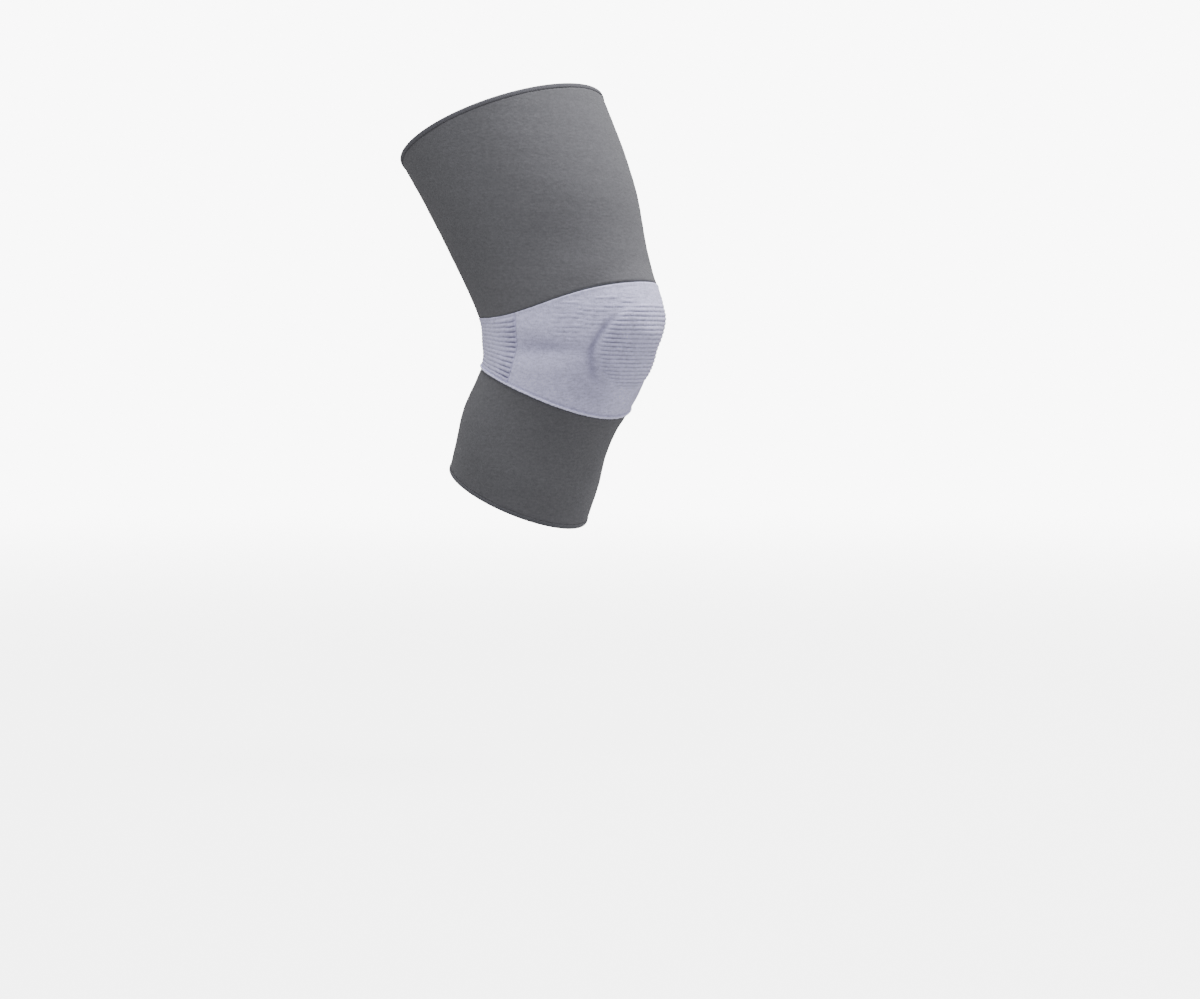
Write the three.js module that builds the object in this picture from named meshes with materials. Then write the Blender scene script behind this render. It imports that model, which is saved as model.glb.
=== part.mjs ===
// A knitted elastic knee sleeve, in the shape it takes on a slightly bent leg.
// Sizes are in millimetres. +Z is up and the kneecap faces -Y. The origin is the middle of the
// leg's hollow at the knee, on the leg's axis.
import * as THREE from "three";

// The leg's axis: calf, an arc through the knee, thigh.
const THIGH_REACH = 157; // knee to top edge, along the axis
const CALF_REACH = 114.6; // knee to bottom edge, along the axis
const THIGH_LEAN_DEG = 21.6; // the thigh leans back
const CALF_LEAN_DEG = 24.5; // and so does the calf
const BEND_RADIUS = 96; // of the axis, through the knee

// Outside sizes of the worn tube, side to side and front to back.
const TOP_WIDTH = 139;
const TOP_DEPTH = 145;
const KNEE_WIDTH = 112;
const KNEE_DEPTH = 122;
const HEM_WIDTH = 90;
const HEM_DEPTH = 103.5;
const SET_BACK = 10; // of the leg behind its axis, near both edges

// Cloth.
const WALL = 2; // knitted wall
const JOIN_GAP = 0.3; // between pieces that meet
const TOP_EDGE_HEIGHT = 2.6; // rolled edge at the top
const BOTTOM_EDGE_HEIGHT = 2.2; // rolled edge at the bottom
const EDGE_SWELL = 0.5; // how far a rolled edge stands out of the wall

// The pale band round the knee, measured along the cloth from the knee.
const BAND_ABOVE = 40; // to its upper line, at the front
const BAND_BELOW = 59; // to its lower line, at the front
const BACK_PANEL_DEG = 178; // how much of the circumference is the ribbed back

// Ribs.
const RIB_DEPTH = 0.5;
const FRONT_RIBS = 21;
const BACK_RIBS = 11;
const RIBBED_ABOVE = 25; // the front's ribs run from this far above the knee
const RIBBED_BELOW = 34; // to this far below it
const FAINT_RIBS_DEG = 72; // beside the pad they run on faintly to here
const FAINT_SHARE = 0.3;

// The kneecap and the soft ring round it, which lifts the cloth.
const KNEECAP_ASIDE = 2; // toward +X
const KNEECAP_ABOVE = 20;
const KNEECAP_WIDTH = 86;
const KNEECAP_HEIGHT = 71;
const KNEECAP_RISE = 5.5;
const PAD_BELOW = 3.5; // middle of the pad below the knee
const PAD_WIDTH = 74; // outline in the cloth
const PAD_HEIGHT = 67;
const PAD_RISE = 1.6;
const RING_WIDTH = 66; // the ring itself
const RING_HEIGHT = 60;
const RING_BAND = 14;
const RING_THICKNESS = 3.2;
const RING_CLEARANCE = 0.6; // under the cloth

// Soft hollows in the worn cloth.
const SIDE_FOLD_DEPTH = 1.3; // across each side of the knee
const SIDE_FOLD_HEIGHT = 9;
const SIDE_FOLD_AT_DEG = 74;
const SIDE_FOLD_REACH_DEG = 34;
const THIGH_DENT_DEPTH = 1.6; // on each side of the thigh
const THIGH_DENT_AT = 57;
const THIGH_DENT_AT_DEG = 60;
const THIGH_DENT_SIZE = 26;

// Meshing.
const COLUMNS = 48;
const FRONT_COLUMNS = 30;
const BACK_COLUMNS = 22;
const PLAIN_ROWS = 4; // above and below the front's ribs
const RING_COLUMNS = 40;
const RING_SIDES = 8;

const radians = THREE.MathUtils.degToRad;
const { lerp, clamp, smoothstep } = THREE.MathUtils;
const thighLean = radians(THIGH_LEAN_DEG);
const calfLean = radians(CALF_LEAN_DEG);
const bell = (x) => Math.exp(-x * x);

// Sections of the tube, from the bottom edge to the top edge. Each is an ellipse with its middle
// set back from the axis, and each length is a share of a named size.
const sections = [
  { at: -1.0 * CALF_REACH, side: 0.5 * HEM_WIDTH, depth: 0.5 * HEM_DEPTH, back: 0.87 * SET_BACK },
  { at: -0.8 * CALF_REACH, side: 0.45 * KNEE_WIDTH, depth: 0.415 * KNEE_DEPTH, back: 1.03 * SET_BACK },
  { at: -0.6 * CALF_REACH, side: 0.47 * KNEE_WIDTH, depth: 0.405 * KNEE_DEPTH, back: 1.3 * SET_BACK },
  { at: -0.4 * CALF_REACH, side: 0.47 * KNEE_WIDTH, depth: 0.402 * KNEE_DEPTH, back: 1.1 * SET_BACK },
  { at: -0.2 * CALF_REACH, side: 0.483 * KNEE_WIDTH, depth: 0.437 * KNEE_DEPTH, back: 0.66 * SET_BACK },
  { at: 0.0, side: 0.495 * KNEE_WIDTH, depth: 0.487 * KNEE_DEPTH, back: 0.32 * SET_BACK },
  { at: 0.15 * THIGH_REACH, side: 0.503 * KNEE_WIDTH, depth: 0.501 * KNEE_DEPTH, back: 0.11 * SET_BACK },
  { at: 0.3 * THIGH_REACH, side: 0.419 * TOP_WIDTH, depth: 0.432 * TOP_DEPTH, back: 0.03 * SET_BACK },
  { at: 0.5 * THIGH_REACH, side: 0.447 * TOP_WIDTH, depth: 0.4615 * TOP_DEPTH, back: 0.05 * SET_BACK },
  { at: 0.75 * THIGH_REACH, side: 0.478 * TOP_WIDTH, depth: 0.482 * TOP_DEPTH, back: 0.42 * SET_BACK },
  { at: 1.0 * THIGH_REACH, side: 0.5 * TOP_WIDTH, depth: 0.5 * TOP_DEPTH, back: 1.04 * SET_BACK },
];
const sectionSpline = new THREE.CubicInterpolant(
  sections.map((s) => s.at),
  sections.flatMap((s) => [s.side, s.depth, s.back]),
  3,
);

// Place and upward lean of the leg's axis at a distance s from the knee.
function axisAt(s) {
  const lean = clamp(s / BEND_RADIUS, -calfLean, thighLean);
  const past = s - lean * BEND_RADIUS;
  return {
    lean,
    y: BEND_RADIUS * (1 - Math.cos(lean)) + past * Math.sin(lean),
    z: BEND_RADIUS * Math.sin(lean) + past * Math.cos(lean),
  };
}

// A point of the smooth tube. u is the angle round it: 0 is the front, a quarter turn is +X.
function tubePoint(u, s) {
  const { lean, y, z } = axisAt(s);
  const [side, depth, back] = sectionSpline.evaluate(s);
  const forward = depth * Math.cos(u) - back;
  return new THREE.Vector3(side * Math.sin(u), y - forward * Math.cos(lean), z + forward * Math.sin(lean));
}

function tubeNormal(u, s) {
  const step = 0.01;
  const round = tubePoint(u + step, s).sub(tubePoint(u - step, s));
  const up = tubePoint(u, s + step).sub(tubePoint(u, s - step));
  return round.cross(up).normalize();
}

// The same point moved out of the cloth by lift.
function clothPoint(u, s, lift) {
  return tubePoint(u, s).addScaledVector(tubeNormal(u, s), lift);
}

// The bend stretches the cloth at the front and shortens it behind the knee. These two turn a
// distance along the axis into a distance along the cloth, and back.
const stretchAt = (u) => 1 + (0.5 * KNEE_DEPTH * Math.cos(u)) / BEND_RADIUS;
const arcEnd = (sign) => BEND_RADIUS * (sign > 0 ? thighLean : -calfLean);

function clothDistance(u, s) {
  const arc = arcEnd(s);
  return Math.abs(s) < Math.abs(arc) ? s * stretchAt(u) : arc * stretchAt(u) + s - arc;
}

function axisDistance(u, height) {
  const arc = arcEnd(height);
  const bent = arc * stretchAt(u);
  return Math.abs(height) < Math.abs(bent) ? height / stretchAt(u) : arc + height - bent;
}

// The band's upper and lower lines round the leg, along the cloth.
const wave = (u, shares) => shares.reduce((sum, share, turns) => sum + share * Math.cos(turns * u), 0);
const bandTop = (u) => BAND_ABOVE * wave(u, [0.609, 0.283, 0.111, -0.019, -0.013]);
const bandBottom = (u) => -BAND_BELOW * wave(u, [0.575, 0.385, 0.04]);

// Everything broad that lifts or dents the cloth.
const across = (u) => 0.5 * KNEE_WIDTH * Math.sin(u);
const turnFromFront = (u) => Math.acos(clamp(Math.cos(u), -1, 1));

function ovalDistance(u, height, middle, width, tall) {
  return Math.hypot((across(u) - KNEECAP_ASIDE) / (0.5 * width), (height - middle) / (0.5 * tall));
}

const padDistance = (u, height) => ovalDistance(u, height, -PAD_BELOW, PAD_WIDTH, PAD_HEIGHT);

function relief(u, s) {
  const height = clothDistance(u, s);
  const turn = turnFromFront(u);
  let lift = 0;
  if (turn < Math.PI / 2) {
    const kneecap = ovalDistance(u, height, KNEECAP_ABOVE, KNEECAP_WIDTH, KNEECAP_HEIGHT);
    lift += KNEECAP_RISE * smoothstep(1 - kneecap, 0, 0.69);
    lift += PAD_RISE * smoothstep(1 - padDistance(u, height), 0, 0.1);
  }
  const foldTurn = (turn - radians(SIDE_FOLD_AT_DEG)) / radians(SIDE_FOLD_REACH_DEG);
  lift -= SIDE_FOLD_DEPTH * bell(height / SIDE_FOLD_HEIGHT) * bell(foldTurn);
  const dentAcross = (0.5 * KNEE_WIDTH * (turn - radians(THIGH_DENT_AT_DEG))) / THIGH_DENT_SIZE;
  lift -= THIGH_DENT_DEPTH * bell(Math.hypot(dentAcross, (s - THIGH_DENT_AT) / THIGH_DENT_SIZE));
  return lift;
}

// A closed piece of wall from an outer and an inner skin. A skin is rows upward of columns round;
// the inner one may have fewer rows.
function wallGeometry(outer, inner, round) {
  const points = [...outer.flat(), ...inner.flat()];
  const width = outer[0].length;
  const columns = round ? width : width - 1;
  const at = (skin, r, c) => (skin === outer ? 0 : outer.length * width) + r * width + (c % width);
  const faces = [];
  for (const skin of [outer, inner]) {
    for (let r = 0; r + 1 < skin.length; r++) {
      for (let c = 0; c < columns; c++) {
        const q = [at(skin, r, c), at(skin, r, c + 1), at(skin, r + 1, c + 1), at(skin, r + 1, c)];
        if (skin === inner) q.reverse();
        faces.push(q[0], q[1], q[2], q[0], q[2], q[3]);
      }
    }
  }
  const bridge = (long, short, flip) => {
    const stride = (long.length - 1) / (short.length - 1);
    const face = (a, b, c) => faces.push(...(flip ? [a, c, b] : [a, b, c]));
    for (let j = 0; j + 1 < short.length; j++) {
      for (let i = j * stride; i < (j + 1) * stride; i++) face(short[j], long[i], long[i + 1]);
      face(short[j], long[(j + 1) * stride], short[j + 1]);
    }
  };
  const rowOf = (skin, r) => Array.from({ length: columns + 1 }, (_, c) => at(skin, r, c));
  const columnOf = (skin, c) => skin.map((_, r) => at(skin, r, c));
  bridge(rowOf(outer, 0), rowOf(inner, 0), true);
  bridge(rowOf(outer, outer.length - 1), rowOf(inner, inner.length - 1), false);
  if (!round) {
    bridge(columnOf(outer, 0), columnOf(inner, 0), false);
    bridge(columnOf(outer, columns), columnOf(inner, columns), true);
  }
  return geometryOf(points, faces);
}

function geometryOf(points, faces) {
  const geometry = new THREE.BufferGeometry().setFromPoints(points);
  geometry.setIndex(faces);
  geometry.computeVertexNormals();
  return geometry;
}

// A wall whose rows stand at the axis distances that rowsAt gives for each angle. The inner skin
// takes every stride-th row.
function wall(angles, rowsAt, stride, extra, round) {
  const places = angles.map(rowsAt);
  const rows = places[0].length;
  const skin = (step, lift) =>
    Array.from({ length: (rows - 1) / step + 1 }, (_, i) =>
      angles.map((u, c) => {
        const s = places[c][i * step];
        return clothPoint(u, s, relief(u, s) + lift(u, s, i));
      }),
    );
  return wallGeometry(skin(1, extra), skin(stride, () => -WALL), round);
}

const spread = (from, to, count) => Array.from({ length: count + 1 }, (_, i) => lerp(from, to, i / count));
const spreadAngles = (from, to, count) => spread(radians(from), radians(to), count);
const roundAngles = spreadAngles(0, 360, COLUMNS).slice(0, -1);
const plain = () => 0;

function tube(low, high, rows, stride, extra = plain) {
  return wall(roundAngles, (u) => spread(low(u), high(u), rows), stride, extra, true);
}

// The front's rows: plain ones below and above, two to a rib between.
function frontRows(u) {
  const low = -Math.min(RIBBED_BELOW, -0.7 * bandBottom(u));
  const high = Math.min(RIBBED_ABOVE, 0.7 * bandTop(u));
  const heights = [
    ...spread(bandBottom(u), low, PLAIN_ROWS).slice(0, -1),
    ...spread(low, high, 2 * FRONT_RIBS),
    ...spread(high, bandTop(u), PLAIN_ROWS).slice(1),
  ];
  return heights.map((height) => axisDistance(u, height));
}

function frontRibs(u, s, row) {
  const step = row - PLAIN_ROWS;
  const onRib = step > 0 && step < 2 * FRONT_RIBS && step % 2 === 1;
  const onPad = smoothstep(1 - padDistance(u, clothDistance(u, s)), 0.02, 0.12);
  const faint = FAINT_SHARE * (1 - smoothstep(turnFromFront(u), radians(FAINT_RIBS_DEG - 12), radians(FAINT_RIBS_DEG)));
  return onRib ? RIB_DEPTH * Math.max(onPad, faint) : 0;
}

// The back's rows: one plain row at each edge, two to a rib between.
function backRows(u) {
  return spread(bandBottom(u), bandTop(u), 2 * BACK_RIBS + 2).map((height) => axisDistance(u, height));
}

function backRibs(u, s, row) {
  return row > 1 && row < 2 * BACK_RIBS + 1 && row % 2 === 0 ? RIB_DEPTH : 0;
}

// The soft ring: a flattened oval loop that lies against the inside of the cloth.
function ringGeometry() {
  const points = [];
  const faces = [];
  for (let i = 0; i < RING_COLUMNS; i++) {
    const turn = (i / RING_COLUMNS) * 2 * Math.PI;
    for (let j = 0; j < RING_SIDES; j++) {
      const round = ((j + 0.5) / RING_SIDES) * 2 * Math.PI;
      const inset = 0.5 * RING_BAND * (1 - Math.cos(round));
      const x = KNEECAP_ASIDE + (0.5 * RING_WIDTH - inset) * Math.sin(turn);
      const height = -PAD_BELOW + (0.5 * RING_HEIGHT - inset) * Math.cos(turn);
      const u = Math.asin(x / (0.5 * KNEE_WIDTH));
      const s = axisDistance(u, height);
      const sunk = 0.5 * RING_THICKNESS * (1 - Math.sin(round));
      points.push(clothPoint(u, s, relief(u, s) - WALL - RING_CLEARANCE - sunk));
      const at = (a, b) => (a % RING_COLUMNS) * RING_SIDES + (b % RING_SIDES);
      faces.push(at(i, j), at(i + 1, j + 1), at(i + 1, j), at(i, j), at(i, j + 1), at(i + 1, j + 1));
    }
  }
  return geometryOf(points, faces);
}

const greyKnit = new THREE.MeshStandardMaterial({ color: 0x6b6c70, roughness: 0.95 });
const darkKnit = new THREE.MeshStandardMaterial({ color: 0x484a4d, roughness: 0.95 });
const paleKnit = new THREE.MeshStandardMaterial({ color: 0xc4c4d2, roughness: 0.95 });
const softPad = new THREE.MeshStandardMaterial({ color: 0x55565a, roughness: 0.6 });

const sleeve = new THREE.Group();
function add(name, geometry, material) {
  const mesh = new THREE.Mesh(geometry, material);
  mesh.name = name;
  sleeve.add(mesh);
}

const rolled = (rows) => (u, s, row) => EDGE_SWELL * Math.sin((Math.PI * row) / rows);
const topLine = THIGH_REACH - TOP_EDGE_HEIGHT;
const bottomLine = -CALF_REACH + BOTTOM_EDGE_HEIGHT;
const abovePale = (u) => axisDistance(u, bandTop(u) + JOIN_GAP);
const belowPale = (u) => axisDistance(u, bandBottom(u) - JOIN_GAP);
const seam = 0.5 * BACK_PANEL_DEG;
const halfGap = THREE.MathUtils.radToDeg(JOIN_GAP / KNEE_WIDTH);

add("top_hem", tube(() => topLine, () => THIGH_REACH, 4, 4, rolled(4)), darkKnit);
add("thigh_section", tube(abovePale, () => topLine - JOIN_GAP, 10, 2), greyKnit);
const frontAngles = spreadAngles(-180 + seam + halfGap, 180 - seam - halfGap, FRONT_COLUMNS);
add("knee_front", wall(frontAngles, frontRows, 5, frontRibs, false), paleKnit);
const backAngles = spreadAngles(180 - seam + halfGap, 180 + seam - halfGap, BACK_COLUMNS);
add("back_panel", wall(backAngles, backRows, 4, backRibs, false), paleKnit);
add("patella_ring", ringGeometry(), softPad);
add("calf_section", tube(() => bottomLine + JOIN_GAP, belowPale, 8, 2), greyKnit);
add("bottom_hem", tube(() => -CALF_REACH, () => bottomLine, 4, 4, rolled(4)), darkKnit);
export default sleeve;
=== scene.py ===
"""Knitted elastic knee sleeve in its worn form, slightly bent.

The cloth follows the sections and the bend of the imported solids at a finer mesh. Its relief is softer
and has more folds, and it adds the knit's ribs, the rolled edges and the stitches. The shape is worked
out in millimetres, and meshes are in metres.
"""
from functools import partial
from math import cos, pi, radians, sin

import bpy
import numpy as np
from bpy.props import FloatProperty, FloatVectorProperty, IntProperty, PointerProperty
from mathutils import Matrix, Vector


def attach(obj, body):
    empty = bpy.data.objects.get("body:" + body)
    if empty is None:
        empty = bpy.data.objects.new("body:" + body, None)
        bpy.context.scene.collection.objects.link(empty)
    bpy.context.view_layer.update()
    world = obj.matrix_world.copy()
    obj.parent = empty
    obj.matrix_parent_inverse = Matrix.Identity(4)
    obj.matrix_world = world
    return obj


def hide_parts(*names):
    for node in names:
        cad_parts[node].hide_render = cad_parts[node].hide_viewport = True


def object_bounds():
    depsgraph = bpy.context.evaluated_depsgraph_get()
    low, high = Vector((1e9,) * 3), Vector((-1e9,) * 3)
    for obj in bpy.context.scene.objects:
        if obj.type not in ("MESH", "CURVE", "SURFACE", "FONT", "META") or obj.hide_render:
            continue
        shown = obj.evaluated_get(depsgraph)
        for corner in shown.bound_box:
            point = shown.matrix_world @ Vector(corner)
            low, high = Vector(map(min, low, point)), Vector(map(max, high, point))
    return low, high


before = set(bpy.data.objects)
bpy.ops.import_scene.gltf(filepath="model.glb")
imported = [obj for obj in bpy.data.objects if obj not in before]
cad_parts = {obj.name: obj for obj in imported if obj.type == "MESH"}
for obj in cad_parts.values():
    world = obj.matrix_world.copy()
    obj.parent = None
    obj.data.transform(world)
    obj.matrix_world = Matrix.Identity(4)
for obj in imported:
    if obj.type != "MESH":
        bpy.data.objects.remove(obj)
CAD_BOX = [list(corner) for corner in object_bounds()]
LOWEST_POINT = CAD_BOX[0][2]

bl_info = {
    "name": "Knee sleeve",
    "version": (1, 0, 0),
    "blender": (4, 5, 0),
    "location": "3D View > Sidebar > Knee sleeve",
    "description": "Builds a worn knitted knee sleeve with ribs, rolled edges and a soft kneecap ring",
    "category": "Add Mesh",
}

MM = 0.001
BODY = "root"
KNIT_UV = "knit"

# The worn form, as in the solids. u is the angle round the sleeve: 0 is the front, a quarter turn is +X.
THIGH_REACH = 157.0
CALF_REACH = 114.6
THIGH_LEAN = radians(21.6)
CALF_LEAN = radians(24.5)
BEND_RADIUS = 96.0
TOP_WIDTH = 139.0
TOP_DEPTH = 145.0
KNEE_WIDTH = 112.0
KNEE_DEPTH = 122.0
HEM_WIDTH = 90.0
HEM_DEPTH = 103.5
SET_BACK = 10.0
WALL = 2.0
JOIN_GAP = 0.3
TOP_EDGE_HEIGHT = 2.6
BOTTOM_EDGE_HEIGHT = 2.2
EDGE_SWELL = 0.5
BAND_ABOVE = 40.0
BAND_BELOW = 59.0
BACK_PANEL = radians(178.0)
RIBBED_ABOVE = 25.0
RIBBED_BELOW = 34.0

# Ribs of the knit. The solids have two fewer in the back panel.
FRONT_RIBS = 21
BACK_RIBS = 13

# The kneecap, its soft ring and the soft hollows.
KNEECAP_ASIDE = 2.0
KNEECAP_ABOVE = 20.0
KNEECAP_WIDTH = 86.0
KNEECAP_HEIGHT = 71.0
KNEECAP_RISE = 5.5
PAD_BELOW = 3.5
PAD_WIDTH = 74.0
PAD_HEIGHT = 67.0
PAD_RISE = 1.6
RING_WIDTH = 66.0
RING_HEIGHT = 60.0
RING_BAND = 14.0
RING_THICKNESS = 3.2
RING_CLEARANCE = 0.6
SIDE_FOLD_DEPTH = 1.3
SIDE_FOLD_HEIGHT = 9.0
SIDE_FOLD_AT = radians(74.0)
SIDE_FOLD_REACH = radians(34.0)
THIGH_DENT_DEPTH = 1.6
THIGH_DENT_AT = 57.0
THIGH_DENT_TURN = radians(60.0)
THIGH_DENT_SIZE = 26.0
CHANNEL_DEPTH = 0.7

# The fine mesh. A stride says how many rows of the outer skin stand over one of the inner skin.
WIDEST_GIRTH = 430.0
GREY_STRIDE = 4
EDGE_ROWS = 8
FRONT_COLUMNS = 160
FRONT_ROWS = (16, 250, 10)  # below the ribs, on them, above them
FRONT_STRIDE = 6
BACK_COLUMNS = 150
BACK_ROWS_PER_RIB = 10
BACK_STRIDE = 5
LINE_POINTS = 480
RING_COLUMNS = 192
RING_SIDES = 28

# Flat sizes of the sheets, in metres: width round the sleeve, then length along it.
THIGH_SHEET = (0.37, 0.118)
CALF_SHEET = (0.29, 0.078)

# The floor of the stage, in metres.
FLOOR_REACH = 6.0
FLOOR_FADE = (0.6, 3.5)
FLOOR_COLOUR = (0.32, 0.32, 0.32)

# Each row: place along the sleeve, half width, half depth, set-back.
SECTIONS = np.array([
    (-1.0 * CALF_REACH, 0.5 * HEM_WIDTH, 0.5 * HEM_DEPTH, 0.87 * SET_BACK),
    (-0.8 * CALF_REACH, 0.45 * KNEE_WIDTH, 0.415 * KNEE_DEPTH, 1.03 * SET_BACK),
    (-0.6 * CALF_REACH, 0.47 * KNEE_WIDTH, 0.405 * KNEE_DEPTH, 1.3 * SET_BACK),
    (-0.4 * CALF_REACH, 0.47 * KNEE_WIDTH, 0.402 * KNEE_DEPTH, 1.1 * SET_BACK),
    (-0.2 * CALF_REACH, 0.483 * KNEE_WIDTH, 0.437 * KNEE_DEPTH, 0.66 * SET_BACK),
    (0.0, 0.495 * KNEE_WIDTH, 0.487 * KNEE_DEPTH, 0.32 * SET_BACK),
    (0.15 * THIGH_REACH, 0.503 * KNEE_WIDTH, 0.501 * KNEE_DEPTH, 0.11 * SET_BACK),
    (0.3 * THIGH_REACH, 0.419 * TOP_WIDTH, 0.432 * TOP_DEPTH, 0.03 * SET_BACK),
    (0.5 * THIGH_REACH, 0.447 * TOP_WIDTH, 0.4615 * TOP_DEPTH, 0.05 * SET_BACK),
    (0.75 * THIGH_REACH, 0.478 * TOP_WIDTH, 0.482 * TOP_DEPTH, 0.42 * SET_BACK),
    (1.0 * THIGH_REACH, 0.5 * TOP_WIDTH, 0.5 * TOP_DEPTH, 1.04 * SET_BACK),
])


def section_at(along):
    """Half width, half depth and set-back at distances along the sleeve, from a curve through SECTIONS."""
    at, values = SECTIONS[:, 0], SECTIONS[:, 1:]
    along = np.clip(along, at[0], at[-1])
    i = np.clip(np.searchsorted(at, along, side="right"), 1, len(at) - 1)
    before = np.where(i >= 2, i - 2, i)
    after = np.where(i + 1 < len(at), i + 1, i - 1)
    t0, t1 = at[i - 1], at[i]
    lean_in = 0.5 * (t1 - t0) / (t0 - at[before])
    lean_out = 0.5 * (t1 - t0) / (at[after] - t1)
    p = (along - t0) / (t1 - t0)
    pp = p * p
    ppp = pp * p
    share_before = -lean_in * ppp + 2 * lean_in * pp - lean_in * p
    share_low = (1 + lean_in) * ppp + (-1.5 - 2 * lean_in) * pp + (-0.5 + lean_in) * p + 1
    share_high = (-1 - lean_out) * ppp + (1.5 + lean_out) * pp + 0.5 * p
    share_after = lean_out * ppp - lean_out * pp
    mixed = (share_before[..., None] * values[before] + share_low[..., None] * values[i - 1]
             + share_high[..., None] * values[i] + share_after[..., None] * values[after])
    return mixed[..., 0], mixed[..., 1], mixed[..., 2]


def tube_point(u, along):
    """Points of the smooth tube, in millimetres."""
    u, along = np.broadcast_arrays(np.asarray(u, float), np.asarray(along, float))
    lean = np.clip(along / BEND_RADIUS, -CALF_LEAN, THIGH_LEAN)
    past = along - lean * BEND_RADIUS
    y = BEND_RADIUS * (1 - np.cos(lean)) + past * np.sin(lean)
    z = BEND_RADIUS * np.sin(lean) + past * np.cos(lean)
    side, depth, back = section_at(along)
    forward = depth * np.cos(u) - back
    return np.stack([side * np.sin(u), y - forward * np.cos(lean), z + forward * np.sin(lean)], -1)


def tube_normal(u, along):
    """Outward directions of the smooth tube."""
    step = 0.01
    round_it = tube_point(u + step, along) - tube_point(u - step, along)
    up = tube_point(u, along + step) - tube_point(u, along - step)
    normal = np.cross(round_it, up)
    return normal / np.linalg.norm(normal, axis=-1, keepdims=True)


def cloth_point(u, along, lift):
    """Points of the cloth, lifted out of the smooth tube."""
    u, along = np.broadcast_arrays(np.asarray(u, float), np.asarray(along, float))
    return tube_point(u, along) + tube_normal(u, along) * np.asarray(lift)[..., None]


def stretch_at(u):
    """How much longer the cloth is than the sleeve's axis through the bend."""
    return 1 + 0.5 * KNEE_DEPTH * np.cos(u) / BEND_RADIUS


def cloth_distance(u, along):
    """Distance along the cloth from the knee, for a distance along the axis."""
    arc = BEND_RADIUS * np.where(along > 0, THIGH_LEAN, -CALF_LEAN)
    bent = arc * stretch_at(u)
    return np.where(np.abs(along) < np.abs(arc), along * stretch_at(u), bent + along - arc)


def axis_distance(u, height):
    """Distance along the axis, for a distance along the cloth from the knee."""
    arc = BEND_RADIUS * np.where(height > 0, THIGH_LEAN, -CALF_LEAN)
    bent = arc * stretch_at(u)
    return np.where(np.abs(height) < np.abs(bent), height / stretch_at(u), arc + height - bent)


def wave(u, shares):
    """A short cosine series round the sleeve."""
    return sum(share * np.cos(turns * u) for turns, share in enumerate(shares))


def band_top(u):
    """Upper line of the pale band, along the cloth."""
    return BAND_ABOVE * wave(u, (0.609, 0.283, 0.111, -0.019, -0.013))


def band_bottom(u):
    """Lower line of the pale band, along the cloth."""
    return -BAND_BELOW * wave(u, (0.575, 0.385, 0.04))


def smooth(x, low, high):
    """Smooth step from 0 at low to 1 at high."""
    t = np.clip((x - low) / (high - low), 0, 1)
    return t * t * (3 - 2 * t)


def bell(x, middle, reach):
    """Soft bump of height 1 at the middle."""
    x = (x - middle) / reach
    return np.exp(-x * x)


def turn_from_front(u):
    """Angle from the front, the same to both sides."""
    return np.arccos(np.clip(np.cos(u), -1, 1))


def smooth_turn(turn, low, high):
    """Smooth step over an angle, between two given in degrees."""
    return smooth(turn, radians(low), radians(high))


def edge_distance(u, height):
    """Distance along the cloth from the nearer line of the pale band."""
    return np.minimum(band_top(u) - height, height - band_bottom(u))


def oval_distance(u, height, middle, width, tall):
    """0 at the middle of an oval over the kneecap, 1 on its outline."""
    across = 0.5 * KNEE_WIDTH * np.sin(u) - KNEECAP_ASIDE
    return np.hypot(across / (0.5 * width), (height - middle) / (0.5 * tall))


def pad_distance(u, height):
    """0 at the middle of the pad's outline, 1 on it."""
    return oval_distance(u, height, -PAD_BELOW, PAD_WIDTH, PAD_HEIGHT)


def relief(u, along):
    """Everything broad that lifts or dents the cloth."""
    u, along = np.broadcast_arrays(np.asarray(u, float), np.asarray(along, float))
    height = cloth_distance(u, along)
    turn = turn_from_front(u)
    kneecap = oval_distance(u, height, KNEECAP_ABOVE, KNEECAP_WIDTH, KNEECAP_HEIGHT)
    lift = KNEECAP_RISE * smooth(1 - kneecap, 0, 0.69)
    lift = lift + PAD_RISE * smooth(1 - pad_distance(u, height), -0.06, 0.28)
    lift = np.where(turn < pi / 2, lift, 0.0)
    fold = bell(height, 0, SIDE_FOLD_HEIGHT) * bell(turn, SIDE_FOLD_AT, SIDE_FOLD_REACH)
    across = 0.5 * KNEE_WIDTH * (turn - THIGH_DENT_TURN) / THIGH_DENT_SIZE
    dent = bell(np.hypot(across, (along - THIGH_DENT_AT) / THIGH_DENT_SIZE), 0, 1)
    return lift - SIDE_FOLD_DEPTH * fold - THIGH_DENT_DEPTH * dent + side_bulges(u, height)


def side_bulges(u, height):
    """The soft fold at the side and the fuller cloth above and under it, in millimetres."""
    turn = turn_from_front(u)
    fold = -1.7 * bell(height, -6, 6) * bell(turn, radians(70), radians(26))
    above = 0.8 * bell(height, 8, 7) * bell(turn, radians(80), radians(17))
    under = 0.5 * bell(height, -20, 7) * bell(turn, radians(68), radians(22))
    return fold + above + under


def pad_channel(u, height):
    """From 0 to 1: the channel in the cloth along the sides of the pad, deepest above its middle."""
    turn = turn_from_front(u)
    beside = smooth_turn(turn, 20, 34) * (1 - smooth_turn(turn, 80, 88))
    ends = smooth(height, -40, -18) * (1 - smooth(height, 19, 28))
    line = 1.02 - 0.085 * smooth(height, -14, 14) + 0.05 * (1 - smooth(height, -30, -12))
    narrow = bell(pad_distance(u, height), line, 0.056)
    return narrow * beside * ends * (0.5 + 0.5 * smooth(height, -14, 8))


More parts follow.
